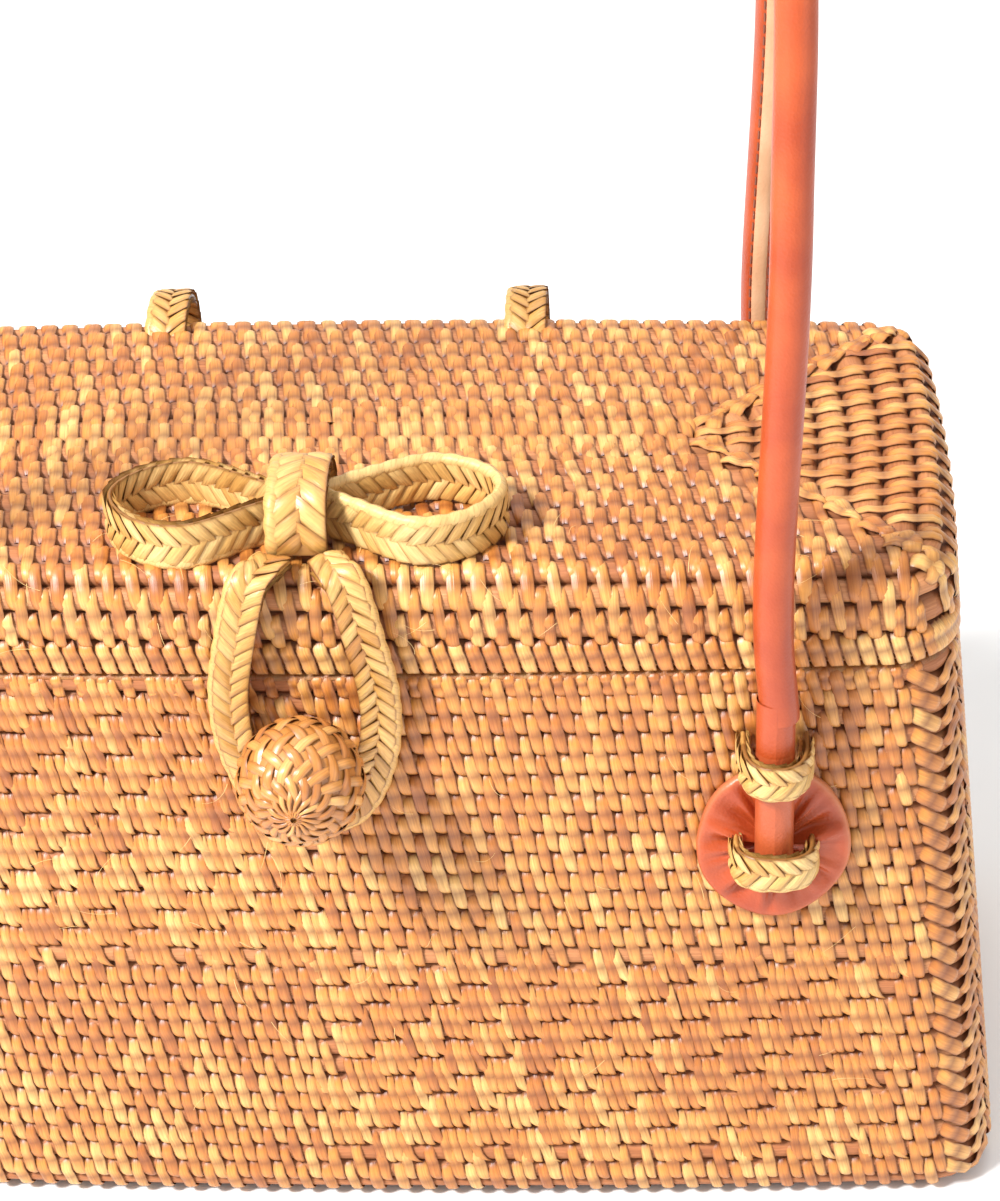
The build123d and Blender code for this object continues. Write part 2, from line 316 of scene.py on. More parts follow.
def fibre_group():
    tree = bpy.data.node_groups.new("Plant fibre", "ShaderNodeTree")
    sockets(tree, [("Fibres", 26.0), ("Length", 1.6), ("Dip", 0.0)], ["Tone", "Streak", "Shadow", "Height"])
    enter = tree.nodes.new("NodeGroupInput")
    leave = tree.nodes.new("NodeGroupOutput")
    across, along, tone = strip_numbers(tree)
    place = tree.nodes.new("ShaderNodeCombineXYZ")
    tree.links.new(math_node(tree, "MULTIPLY", across, enter.outputs["Fibres"]), place.inputs[0])
    tree.links.new(math_node(tree, "MULTIPLY", along, enter.outputs["Length"]), place.inputs[1])
    tree.links.new(math_node(tree, "MULTIPLY", tone, 91.7), place.inputs[2])
    streak = noise_node(tree, place.outputs[0], 1.0, 4.0)
    coords = tree.nodes.new("ShaderNodeTexCoord")
    patchy = noise_node(tree, coords.outputs["Object"], 95.0, 3.0)
    spread = math_node(tree, "MULTIPLY", math_node(tree, "SUBTRACT", patchy, 0.5), 0.55)
    tree.links.new(math_node(tree, "ADD", tone, spread, clamp=True), leave.inputs["Tone"])
    tree.links.new(streak, leave.inputs["Streak"])
    tree.links.new(streak, leave.inputs["Height"])
    # Painted shade: a strip's ends where they tuck under, its edges where it meets the next, and a wrap's
    # middle where it dips between two coils. Shadow holds the strongest of them.
    ends = math_node(tree, "ABSOLUTE", math_node(tree, "SUBTRACT", along, 0.5))
    sides = math_node(tree, "ABSOLUTE", math_node(tree, "SUBTRACT", across, 0.5))
    end_shade = math_node(tree, "POWER", math_node(tree, "MULTIPLY", ends, 2.0), 7.0)
    edge_shade = math_node(tree, "POWER", math_node(tree, "MULTIPLY", sides, 2.0), 4.0)
    middle = math_node(tree, "SUBTRACT", 1.0, math_node(tree, "MULTIPLY", ends, 4.5), clamp=True)
    dip_shade = math_node(tree, "MULTIPLY", middle, enter.outputs["Dip"])
    dark = math_node(tree, "MAXIMUM", end_shade, math_node(tree, "MULTIPLY", edge_shade, 0.8))
    dark = math_node(tree, "MAXIMUM", dark, dip_shade)
    tree.links.new(math_node(tree, "MINIMUM", dark, 1.0), leave.inputs["Shadow"])
    return tree


plant_fibre = fibre_group()

# %% Material builder for fibre
def ramp_node(tree, stops, factor):
    node = tree.nodes.new("ShaderNodeValToRGB")
    ramp = node.color_ramp
    while len(ramp.elements) < len(stops):
        ramp.elements.new(0.5)
    for element, (where, colour) in zip(ramp.elements, stops):
        element.position = where
        element.color = (*colour, 1)
    tree.links.new(factor, node.inputs[0])
    return node.outputs[0]


def mix_colour(tree, blend_type, factor, first, second):
    node = tree.nodes.new("ShaderNodeMix")
    node.data_type = "RGBA"
    node.blend_type = blend_type
    for index, value in ((0, factor), (6, first), (7, second)):
        feed(tree, node.inputs[index], value)
    return node.outputs[2]


def new_material(name, group, **numbers):
    """A material with one of the node groups in it, and that group's numbers set."""
    material = bpy.data.materials.new(name)
    material.use_nodes = True
    node = material.node_tree.nodes.new("ShaderNodeGroup")
    node.node_tree = group
    for key, value in numbers.items():
        node.inputs[key].default_value = value
    return material, material.node_tree, node


def finish_skin(tree, colour, vary, height, rough, bump, coat):
    """Colour, roughness that varies between two values, fine relief and a thin coat."""
    skin = tree.nodes["Principled BSDF"]
    tree.links.new(colour, skin.inputs["Base Color"])
    spread = tree.nodes.new("ShaderNodeMapRange")
    spread.inputs["To Min"].default_value, spread.inputs["To Max"].default_value = rough
    tree.links.new(vary, spread.inputs["Value"])
    tree.links.new(spread.outputs[0], skin.inputs["Roughness"])
    raised = tree.nodes.new("ShaderNodeBump")
    raised.inputs["Strength"].default_value, raised.inputs["Distance"].default_value = bump
    tree.links.new(height, raised.inputs["Height"])
    tree.links.new(raised.outputs[0], skin.inputs["Normal"])
    skin.inputs["Coat Weight"].default_value, skin.inputs["Coat Roughness"].default_value = coat


def fibre_material(name, stops, dark, fibres, length, rough, bump, coat, middle_shade=0.0):
    """A satin fibre finish: stops is its colour by tone, dark its shaded colour."""
    material, tree, fibre = new_material(name, plant_fibre, Fibres=fibres, Length=length, Dip=middle_shade)
    tone, streak, shadow, height = fibre.outputs
    colour = ramp_node(tree, stops, tone)
    streaks = ramp_node(tree, [(0.32, (0.62, 0.55, 0.5)), (0.66, (1, 1, 1))], streak)
    colour = mix_colour(tree, "MULTIPLY", 0.75, colour, streaks)
    # Painted shade: where Shadow is high the colour turns to the dark shade colour.
    colour = mix_colour(tree, "MIX", shadow, colour, dark)
    finish_skin(tree, colour, streak, height, (rough + 0.14, rough - 0.08), (bump, 0.00025), (coat, 0.42))
    return material


# The wrap finish's last number is the painted shade in the middle of each wrap, where it dips between two
# coils.
wrap_finish = fibre_material(
    "split_vine_wrap",
    [
        (0.0, (0.46, 0.15, 0.03)), (0.3, (0.62, 0.225, 0.045)),
        (0.62, (0.72, 0.30, 0.06)), (1.0, (0.88, 0.52, 0.17)),
    ],
    (0.13, 0.02, 0.003), 7.0, 1.1, 0.36, 0.6, 0.2, 0.62,
)
coil_finish = fibre_material(
    "grass_coil",
    [(0.0, (0.34, 0.105, 0.03)), (0.5, (0.48, 0.175, 0.06)), (1.0, (0.62, 0.27, 0.105))],
    (0.10, 0.025, 0.006), 12.0, 10.0, 0.55, 0.7, 0.0,
)
straw_finish = fibre_material(
    "plaited_straw",
    [(0.0, (0.56, 0.29, 0.07)), (0.45, (0.72, 0.43, 0.13)), (1.0, (0.84, 0.58, 0.24))],
    (0.26, 0.11, 0.025), 9.0, 1.6, 0.4, 0.6, 0.15,
)
deep_straw = fibre_material(
    "handled_straw",
    [(0.0, (0.46, 0.19, 0.04)), (0.45, (0.63, 0.33, 0.08)), (1.0, (0.76, 0.47, 0.16))],
    (0.20, 0.07, 0.015), 9.0, 1.6, 0.36, 0.6, 0.2,
)
button_finish = fibre_material(
    "button_ribbon",
    [(0.0, (0.42, 0.14, 0.03)), (0.5, (0.62, 0.26, 0.06)), (1.0, (0.80, 0.44, 0.14))],
    (0.13, 0.035, 0.008), 6.0, 30.0, 0.3, 0.4, 0.4,
)

# %% [markdown]
# ## Coils and wraps
# The coils are the grass bundles themselves: long rounded rows that show as
# pinkish brown between the wraps. The wraps are short flat strips that cross
# two rows, tuck under at both ends and swell over each coil. Neighbouring
# rows are half a step apart, which gives the brick-like weave. They are real
# strips and not a bump, because their crests catch the light and their gaps
# go dark, and a flat wall with a pattern on it never looks like that.

# %% Coils
def coil_rows(edges):
    """Points across each row: their share of the row, their v and their swell."""
    share = np.linspace(0, 1, 7)
    v = edges[:-1, None] + np.diff(edges)[:, None] * share
    swell = np.sqrt(np.clip(1 - (2 * share - 1) ** 2, 0, 1))
    return share[:, None], v[..., None], swell[:, None]


def along_coil(u):
    """A slow wave along a row, which keeps its colour from being even."""
    return 0.5 + 0.3 * np.sin(60 * u)


def coil_patch(surface, side, sizes, edges, tone, top, depth, turn_in=1, along_steps=64):
    """Rounded rows of grass between the given edges, across one side."""
    share, v, swell = coil_rows(edges)
    u = np.linspace(-1, 1, along_steps) * side_reach(side, *sizes(v)[:3])
    place = lift(surface, side, u, v, turn_in * (top - depth * (1 - swell)))
    return place, share, along_coil(u), tone[: len(edges) - 1, None, None]


# %% Wraps
across_grid = np.linspace(-1, 1, 5)
along_grid = np.array([0, 0.05, 0.15, 0.27, 0.42, 0.58, 0.74, 0.87, 0.95, 1.0])
crossing = np.interp(
    along_grid,
    [0, 0.05, 0.15, 0.27, 0.5, 0.74, 0.87, 0.95, 1],
    [-1.2, -0.62, 0.02, 0.4, -0.16, 0.42, 0.16, -0.4, -1.15],
)


def wrap_patch(surface, side, u, v, length, width, lean, tone, hook=0.0, curl=0.0, profile=crossing):
    """Short strips at u and v. Each leans by an angle and ends in a hooked tip."""
    u, v, length, width, lean, tone, hook, curl = (
        np.broadcast_to(np.asarray(value, float), np.shape(u))[:, None, None]
        for value in (u, v, length, width, lean, tone, hook, curl)
    )
    a, b = across_grid[None, None, :], along_grid[None, :, None]
    tip = np.clip((b - 0.7) / 0.3, 0, 1)
    narrow = 1 - 0.25 * tip**2 - 0.2 * np.clip((0.12 - b) / 0.12, 0, 1)
    run = (b - 0.5) * length + hook * tip * (a + 1) / 2
    side_step = a * width / 2 * narrow + curl * tip**2
    place_u = u + run * np.sin(lean) + side_step * np.cos(lean)
    place_v = v - run * np.cos(lean) + side_step * np.sin(lean)
    height = (profile[None, :, None] - 0.42 * np.abs(a) ** 3) * MM
    return lift(surface, side, place_u, place_v, height), (a + 1) / 2, b, tone


# %% [markdown]
# ## The basket's walls
# The front is worked in four fields, like a checkerboard of two by two. In two
# of them single wraps stand close together, and in the other two the wraps
# are gathered three or four to a bunch whose last strip fans out to the
# right. The back takes the same four fields and the ends are worked plain.
# Near every upright corner the wraps turn into one slanting strip for each
# row, which leaves the grass bare beside it.

# %% Wall rows
wall_rows = 28
row_pitch = (seam - 1 * MM) / wall_rows
wall_edges = 0.8 * MM + np.arange(wall_rows + 1) * row_pitch
plain_pitch = 5.2 * MM
bunch_pitch = 15 * MM
bunch_offsets = (np.arange(4) - 1.5) * 2.15 * MM
plain_width = 2.75 * MM
bunch_width = 2.35 * MM
wrap_lean = math.radians(12)
field_height = 0.5 * seam
field_end = 128 * MM
corner_margin = 8.6 * MM


def bunched_field(side, u, z):
    """Whether the weave is bunched at u and z."""
    if side % 2:
        return np.zeros(np.shape(u), bool)
    upper = z > field_height
    left = u < 0
    return (upper == left) & (np.abs(u) < field_end) & (z > 2.5 * row_pitch)


def reach_at(side, sizes, v):
    """How far along its side a row at v runs."""
    return float(side_reach(side, *sizes(np.array(v))[:3]))


def wall_wraps(side, rng):
    """All the wraps of one wall, row by row."""
    lists = {key: [] for key in ("u", "v", "length", "width", "lean", "hook", "curl")}
    top_reach = reach_at(side, wall_sizes, seam)
    for row in range(wall_rows - 1):
        z = seam - (row + 1) * row_pitch - 0.4 * MM
        reach = reach_at(side, wall_sizes, z) - corner_margin
        flare = (reach + corner_margin) / top_reach
        for kind, pitch in (("plain", plain_pitch), ("bunch", bunch_pitch)):
            drift = row * (0.9 if kind == "plain" else 1.1) * MM
            shift = (row % 2) * pitch / 2 + drift % pitch
            count = int(2.4 * reach / pitch) + 4
            centres = ((np.arange(count) - count // 2) * pitch + shift) * flare
            in_field = bunched_field(side, centres, z) == (kind == "bunch")
            centres = centres[in_field & (np.abs(centres) < reach)]
            offsets, width = ([0], plain_width) if kind == "plain" else (bunch_offsets, bunch_width)
            for k, offset in enumerate(offsets):
                last = k == 3
                n = len(centres)
                lists["u"].append(centres + offset + rng.normal(0, 0.13 * MM, n))
                lists["v"].append(z + rng.normal(0, 0.16 * MM, n))
                lists["length"].append((2 * row_pitch - 0.2 * MM) * (1 + rng.normal(0, 0.03, n)))
                lists["width"].append(width * (1 + rng.normal(0, 0.06, n)))
                lists["lean"].append(wrap_lean + rng.normal(0, 0.035, n) + (0.12 if last else 0.02 * k))
                lists["hook"].append(np.full(n, (1.5 if last else 0.6) * MM))
                lists["curl"].append(np.full(n, (1.4 if last else 0.15) * MM))
    return {key: np.concatenate(value) for key, value in lists.items()}


def corner_wraps(side, rng):
    """The slanting strips along the two corners of a wall."""
    patches = []
    for row in range(wall_rows - 1):
        z = seam - (row + 1.0) * row_pitch
        reach = reach_at(side, wall_sizes, max(z, foot_round))
        for end in (-1, 1):
            u = np.array([end * (reach - 4.2 * MM)])
            v = max(z, 4 * MM)
            lean = end * (math.radians(54) + rng.normal(0, 0.04))
            tone = rng.beta(2.2, 2.0)
            patches.append(wrap_patch(wall_surface, side, u, v, 10.8 * MM, 3.5 * MM, lean, tone))
    return patches


# %% Build the walls
side_names = ("front", "right", "back", "left")
for side, name in enumerate(side_names):
    rng = np.random.default_rng(40 + side)
    made = wall_wraps(side, rng)
    tone = np.clip(rng.beta(2.4, 2.0, len(made["u"])) + 0.12 * np.sin(made["v"] * 90), 0, 1)
    patches = [wrap_patch(wall_surface, side, tone=tone, **made)]
    patches += corner_wraps(side, rng)
    top_count = int(reach_at(side, wall_sizes, seam) / plain_pitch)
    top_u = (np.arange(-top_count, top_count) + 0.5) * plain_pitch
    top_tone = rng.beta(2.6, 1.8, len(top_u))
    patches.append(
        wrap_patch(
            wall_surface, side, top_u, seam - 0.65 * row_pitch, 1.15 * row_pitch, 2.6 * MM,
            math.radians(10), 0.6 * top_tone, hook=0.5 * MM, profile=crossing - 0.3,
        )
    )
    place_weave(f"weave_{name}", patches, "basket", wrap_finish, "basket_body")
    coil_tone = rng.uniform(0.25, 0.85, wall_rows)
    coils = coil_patch(wall_surface, side, wall_sizes, wall_edges, coil_tone, -0.55 * MM, 1.7 * MM)
    place_weave(f"coils_{name}", [coils], "basket", coil_finish, "basket_body")

# %% [markdown]
# ## The lid
# The lid starts with a rim row, climbs three more rows up its edge, and then
# the rows run inwards over the top in courses that meet at the corners on
# slanting mitre lines, with a short slanting strip over each meeting of two
# rows. The wraps on the top are longer than on the walls, because the coils
# are thicker there.

# %% Lid rows
lid_row = 7.15 * MM
lid_rows = 11
lid_edges = np.arange(lid_rows + 1) * lid_row
lid_reach_limit = lid_side + lid_bend + rim_half_depth - lid_inset - lid_edge_round
lid_edges = np.append(lid_edges[lid_edges < lid_reach_limit - 2 * MM], lid_reach_limit - 0.2 * MM)
lid_pitch = 5.3 * MM
lid_end_pitch = 7.2 * MM
lid_width = 2.9 * MM
mitre_length = 12 * MM
shortest_reach = 4 * MM


for side, name in enumerate(side_names):
    rng = np.random.default_rng(60 + side)
    patches = []
    pitch = lid_pitch if side % 2 == 0 else lid_end_pitch
    for row in range(len(lid_edges) - 2):
        q = lid_edges[row + 1]
        reach = reach_at(side, lid_sizes, q)
        if reach < shortest_reach:
            continue
        trim = 1.5 * MM if q < lid_side else 3.2 * MM
        count = int(2 * rim_half_length / pitch) + 6
        u = (np.arange(count) - count // 2 + 0.5 * (row % 2)) * pitch + row * 0.5 * MM
        u = u[np.abs(u) < reach - trim]
        u = u + rng.normal(0, 0.15 * MM, len(u))
        if not len(u):
            continue
        tone = rng.beta(2.4, 1.8, len(u))
        lean = math.radians(7) + rng.normal(0, 0.05, len(u))
        width = lid_width * (1 + rng.normal(0, 0.07, len(u)))
        middle_q, run = (q, 2 * lid_row - 1.2 * MM) if row else (1.42 * lid_row, 1.15 * lid_row)
        curl = 0.2 * MM if side % 2 == 0 else 1.1 * MM
        patches.append(
            wrap_patch(lid_surface, side, u, middle_q, run, width, lean, tone, hook=0.7 * MM, curl=curl)
        )
    rim_u = np.arange(-1, 1, 3.7 * MM / rim_half_length) * reach_at(side, lid_sizes, 0.0)
    patches.append(
        wrap_patch(
            lid_surface, side, rim_u, 0.5 * lid_row, 1.1 * lid_row, 3.1 * MM, math.radians(16),
            rng.beta(2.8, 1.7, len(rim_u)), hook=0.8 * MM, profile=crossing + 0.25,
        )
    )
    for q in lid_edges[3:-1]:
        reach = reach_at(side, lid_sizes, q)
        for end in (-1, 1):
            if reach > shortest_reach:
                u = np.array([end * (reach - 0.6 * MM)])
                lean = end * math.radians(58) + rng.normal(0, 0.1)
                tone = rng.beta(3, 1.6)
                patches.append(
                    wrap_patch(
                        lid_surface, side, u, q, mitre_length, lid_width, lean, tone,
                        profile=crossing + 0.3,
                    )
                )
    place_weave(f"lid_weave_{name}", patches, "lid", wrap_finish, "lid")
    coil_tone = rng.uniform(0.3, 0.9, len(lid_edges))
    coils = coil_patch(lid_surface, side, lid_sizes, lid_edges, coil_tone, -0.5 * MM, 1.9 * MM)
    place_weave(f"lid_coils_{name}", [coils], "lid", coil_finish, "lid")

# %% The lid's middle row
def lid_flat(side, u, v):
    return points_at(u, v, lid_crown)


middle_end = rim_half_length - rim_half_depth - 1 * MM
middle_gap = rim_half_depth - lid_inset - lid_edge_round - (lid_edges[-2] - lid_side - lid_bend)
rng = np.random.default_rng(66)
share, v, swell = coil_rows(np.array([-middle_gap - 1 * MM, 0.0, middle_gap + 1 * MM]))
u = np.linspace(-middle_end, middle_end, 90)
place = points_at(u, v, lid_crown - 0.5 * MM - 1.9 * MM * (1 - swell))
place_weave("lid_coils_middle", [(place, share, along_coil(u), 0.6)], "lid", coil_finish, "lid")
u = np.arange(-middle_end, middle_end, lid_pitch)
middle_wraps = [
    wrap_patch(
        lid_flat, 0, u + step * lid_pitch / 2, where, 2 * middle_gap + 2.5 * MM, 2.8 * MM,
        math.radians(7), rng.beta(2.4, 1.8, len(u)), hook=0.7 * MM,
    )
    for step, where in ((0, 0.0), (1, middle_gap), (1, -middle_gap))
]
place_weave("lid_weave_middle", middle_wraps, "lid", wrap_finish, "lid")

# %% [markdown]
# ## Insides, floor and rims
# With the lid open, the back of the same weave shows inside. It is built more
# simply than the outside, since the eye never comes near it: the inside walls
# have coils alone, and the flat panels have coils with plain short wraps. A
# round rim coil closes the basket's top edge and the lid's lower one.

# %% Inside walls and the flat panels
inner_rows = 24
inner_edges = wall + np.arange(inner_rows + 1) * (seam - wall) / inner_rows
panel_across = across_grid[None, None, ::2]
panel_steps = [0, 2, 3, 4, 6, 7, 9]


def flat_panel(name, body, node, half_length, half_depth, z, up, pitch, seed):
    """A flat woven panel whose rows run along the length of the basket."""
    rng = np.random.default_rng(seed)
    rows = int(2 * half_depth / pitch)
    edges = np.linspace(-half_depth, half_depth, rows + 1)
    share, v, swell = coil_rows(edges)
    ends = half_length - 0.35 * plan_corner * (np.abs(v) / half_depth) ** 14
    u = np.linspace(-1, 1, 40) * ends
    place = points_at(u, v, z - up * (1.1 - 0.9 * swell) * MM)
    tone = rng.uniform(0.3, 0.85, rows)[:, None, None]
    place_weave(f"{name}_coils", [(place, share, along_coil(u), tone)], body, coil_finish, node)
    a, b = panel_across, along_grid[None, panel_steps, None]
    lifted = (crossing[None, panel_steps, None] - 0.42 * np.abs(a) ** 3 - 0.35) * MM
    patches = []
    for row in range(1, rows):
        centres = np.arange(-half_length + 4 * MM, half_length - 4 * MM, 5.6 * MM)
        centres = centres + (row % 2) * 2.8 * MM
        x = centres[:, None, None] + a * 1.4 * MM + (b - 0.5) * 1.2 * MM
        y = edges[row] + (0.5 - b) * (2 * pitch - 0.6 * MM)
        tone = rng.beta(2.4, 2, len(centres))[:, None, None]
        patches.append((points_at(x, y, z + up * lifted), (a + 1) / 2, b, tone))
    place_weave(f"{name}_wraps", patches, body, wrap_finish, node)


for side, name in enumerate(side_names):
    tone = np.random.default_rng(80 + side).uniform(0.3, 0.9, inner_rows)
    inside = coil_patch(inner_surface, side, inner_sizes, inner_edges, tone, 0.3 * MM, 1.2 * MM, -1, 44)
    place_weave(f"inside_{name}", [inside], "basket", coil_finish, "basket_body")

floor_half_depth = base_half_depth - 5 * MM
flat_panel(
    "floor_inside", "basket", "basket_body",
    base_half_length - 7 * MM, floor_half_depth, wall, 1, 5.2 * MM, 91,
)
flat_panel(
    "floor_under", "basket", "basket_body",
    base_half_length - 5 * MM, floor_half_depth, 0.45 * MM, -1, 5.2 * MM, 92,
)
flat_panel(
    "lid_inside", "lid", "lid",
    rim_half_length - 7 * MM, rim_half_depth - 6 * MM, lid_crown - wall, -1, 6 * MM, 93,
)

# %% Rim coils
def plan_loop(z, half_length, half_depth, corner):
    """The plan as one closed line at a height."""
    points = []
    for side in range(4):
        reach = float(side_reach(side, half_length, half_depth, corner))
        u = np.linspace(-reach, reach, 120, endpoint=False)
        points.append(points_at(*plan_point(side, u, half_length, half_depth, corner), z))
    return np.concatenate(points)


def rim_coil(name, body, node, z, radius_up, seed):
    inset = wall / 2
    path = plan_loop(z, rim_half_length - inset, rim_half_depth - inset, plan_corner - inset)
    ahead = np.roll(path, -1, 0) - np.roll(path, 1, 0)
    ahead /= np.linalg.norm(ahead, axis=1, keepdims=True)
    turn = round_turn(13)
    place = rings(path, np.cross(ahead, AXIS_Z), AXIS_Z, 2.6 * MM * np.cos(turn), radius_up * np.sin(turn))
    place = np.concatenate([place, place[:1]])
    count = len(place)
    rng = np.random.default_rng(seed)
    lengths = np.linspace(0, 1, count)[:, None] * 280
    tone = (0.62 + 0.3 * np.sin(np.arange(count) * 2.1 + rng.uniform()))[:, None]
    place_weave(name, [(place, lengths % 1.0, 0.5, tone)], body, wrap_finish, node)


rim_coil("body_rim", "basket", "basket_body", seam - 1.5 * MM, 1.4 * MM, 101)
rim_coil("lid_rim", "lid", "lid", lid_bottom + 1.4 * MM, 1.3 * MM, 102)

# %% Inside of the lid's edge
def lid_inner_sizes(z):
    return rim_half_length - wall + 0 * z, rim_half_depth - wall + 0 * z, plan_corner - wall + 0 * z


def lid_inner(side, u, z):
    return points_at(*plan_point(side, u, *lid_inner_sizes(z)), z)


lid_inner_edges = np.linspace(lid_bottom + 1 * MM, lid_crown - wall, 4)
for side, name in enumerate(side_names):
    tone = np.full(3, 0.6)
    inside = coil_patch(lid_inner, side, lid_inner_sizes, lid_inner_edges, tone, 0.3 * MM, 1.2 * MM, -1)
    place_weave(f"lid_inside_{name}", [inside], "lid", coil_finish, "lid")

# %% [markdown]
# ## Routes and plaits
# The bow, its knot, the closing loop, the ties and the hinge loops are all one
# kind of work: a flat plait of straw, folded over itself so that its face is
# two rows of slanting leaves, with a rolled cord along one edge. So a plait is
# made once, as leaves laid along a route, and every piece gives its own route.

# %% Routes
def smooth_route(points, faces, steps, closed=False):
    """A smooth line through points, with the direction its face looks in."""
    points, faces = np.asarray(points, float), np.asarray(faces, float)
    if closed:
        points = np.concatenate([points[-1:], points, points[:2]])
        faces = np.concatenate([faces[-1:], faces, faces[:2]])
    else:
        points = np.concatenate([2 * points[:1] - points[1:2], points, 2 * points[-1:] - points[-2:-1]])
        faces = np.concatenate([faces[:1], faces, faces[-1:]])
    line, look = [], []
    for i in range(1, len(points) - 2):
        t = np.linspace(0, 1, steps, endpoint=False)[:, None]
        weights = (
            -0.5 * t + t**2 - 0.5 * t**3,
            1 - 2.5 * t**2 + 1.5 * t**3,
            0.5 * t + 2 * t**2 - 1.5 * t**3,
            -0.5 * t**2 + 0.5 * t**3,
        )
        line.append(sum(w * points[i - 1 + k] for k, w in enumerate(weights)))
        look.append((1 - t) * faces[i] + t * faces[i + 1])
    line, look = np.concatenate(line), np.concatenate(look)
    line = np.concatenate([line, points[-2:-1]])
    look = np.concatenate([look, faces[-2:-1]])
    ahead = np.gradient(line, axis=0)
    ahead /= np.linalg.norm(ahead, axis=1, keepdims=True)
    look = look - ahead * (look * ahead).sum(1, keepdims=True)
    look /= np.linalg.norm(look, axis=1, keepdims=True)
    length = np.concatenate([[0], np.cumsum(np.linalg.norm(np.diff(line, axis=0), axis=1))])
    return {"line": line, "ahead": ahead, "look": look, "length": length}


def along_route(route, s):
    """Place, face direction and width direction at distances along a route."""
    found = []
    for key in ("line", "look", "ahead"):
        values = route[key]
        found.append(np.stack([np.interp(s, route["length"], values[:, k]) for k in range(3)], -1))
    place, look, ahead = found
    across = np.cross(ahead, look)
    return place, look, across / np.maximum(np.linalg.norm(across, axis=-1, keepdims=True), 1e-9)


# %% The plait
def plait(name, route, width, thickness, seed, leaf_pitch=3.6 * MM, cord_edge=1, widths=None):
    """Slanting leaves on both faces of a band, with a rolled cord on one edge."""
    rng = np.random.default_rng(seed)
    total = route["length"][-1]
    patches = []

    def scale(s):
        return 1.0 if widths is None else np.interp(s / total, *widths)

    s = np.linspace(0, total, max(12, int(total / (1.2 * MM))))
    turn = round_turn(15)
    place, look, across = along_route(route, s)
    oval = np.sign(np.cos(turn)) * np.abs(np.cos(turn)) ** 0.6
    size = np.broadcast_to(scale(s), s.shape)[:, None]
    core = rings(place, across, look, 0.46 * width * oval * size, 0.3 * thickness * np.sin(turn))
    # The core's along number runs far past a strip's ends, so the whole core takes the finish's dark colour:
    # painted shade in the gaps between the leaves.
    patches.append((core, turn / 7, s[:, None] * 200, 0.2))
    a = np.linspace(-1, 1, 5)[None, None, :]
    b = np.linspace(0, 1, 6)[None, :, None]
    count = max(3, int(total / leaf_pitch))
    for face in (-1, 1):
        for row in (-1, 1):
            start = (np.arange(count) + 0.5 + 0.25 * row) * total / count + rng.normal(0, 0.12 * MM, count)
            slant = 0.55 * leaf_pitch
            s = start[:, None, None] + a * leaf_pitch * 0.66 * (1 - 0.25 * b**2) + slant * (b - 0.5) * 2
            s = np.clip(s, 0, total)
            place, look, across = along_route(route, s)
            off = row * width / 2 * (0.98 - 1.08 * b) * scale(s)
            bump = thickness * (0.34 + 0.2 * (1 - a**2) * (1 - (2 * b - 1) ** 4) + 0.13 * a) + 0 * s
            place = place + across * (off + 0 * s)[..., None] + look * (face * bump)[..., None]
            tone = np.clip(rng.beta(2.2, 1.7, count), 0, 1)[:, None, None]
            patches.append((place, (a + 1) / 2, b, tone))
    s = np.linspace(0, total, max(20, int(total / (0.6 * MM))))
    place, look, across = along_route(route, s)
    radius = (0.17 * width * (0.82 + 0.18 * np.abs(np.sin(s / (1.5 * MM)))))[:, None]
    centre = place + across * (cord_edge * 0.47 * width * np.broadcast_to(scale(s), s.shape))[:, None]
    turn = round_turn(10)
    cord = rings(centre, across, look, radius * np.cos(turn), 0.9 * radius * np.sin(turn))
    twist = (s[:, None] / (1.5 * MM) + turn) % 1.0
    patches.append((cord, 0.2 + 0.6 * twist, 0.5, 0.75))
    return grid_mesh(name, patches)


# %% [markdown]
# ## The bow and its knot
# The bow's band stands on edge, so its plaited face looks sideways, and the
# knot is a short plait folded over the middle.

# %% Bow
bow_low, bow_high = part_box("bow_band")
bow_y = (bow_low.y + bow_high.y) / 2
bow_mid = (bow_low.z + bow_high.z) / 2
bow_tall = bow_high.z - bow_low.z
bow_reach = bow_high.x
bow_half = (bow_high.y - bow_low.y) / 2
band = 3 * MM

bow_shape = [(0.10, 0.10), (0.26, 0.42), (0.62, 1.0), (0.90, 0.72), (1.0, 0.05)]
bow_shape += [(0.86, -0.7), (0.58, -1.0), (0.26, -0.42), (0.10, -0.10)]
for side, hand in ((-1, "left"), (1, "right")):
    reach, half = bow_reach - band / 2, bow_half - band / 2
    wave = 0.3 * MM
    points = [(side * reach * a, bow_y + half * b, bow_mid + wave * math.sin(5 * a)) for a, b in bow_shape]
    centre = np.array([side * reach * 0.6, bow_y, bow_mid])
    faces = [np.array(p) - centre for p in points]
    faces = [(f[0], f[1], 0.0) for f in faces]
    loop = plait(f"bow_loop_{hand}", smooth_route(points, faces, 12), bow_tall, band, 110 + side, cord_edge=1)
    place_piece(loop, "lid", "straw_braid", straw_finish, "bow_band")

# %% Knot
knot_low, knot_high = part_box("bow_knot")
ky, kz = (knot_low.y + knot_high.y) / 2, knot_low.z
kd, kh = (knot_high.y - knot_low.y) / 2 - 1.2 * MM, knot_high.z - knot_low.z - 1.3 * MM
knot_shape = [(-0.96, 0.04), (-1.0, 0.35), (-0.8, 0.8), (-0.35, 0.98)]
knot_shape += [(0.3, 1.0), (0.78, 0.82), (1.0, 0.4), (0.96, 0.04)]
knot_points = [(0, ky + kd * a, kz + 0.6 * MM + kh * b) for a, b in knot_shape]
knot_faces = [(0, a, b - 0.2) for a, b in knot_shape]
knot = plait(
    "bow_knot_plait", smooth_route(knot_points, knot_faces, 10), knot_high.x - knot_low.x - 1 * MM,
    3.4 * MM, 120, leaf_pitch=4.6 * MM, cord_edge=-1,
)
place_piece(knot, "lid", "straw_braid", deep_straw, "bow_knot")
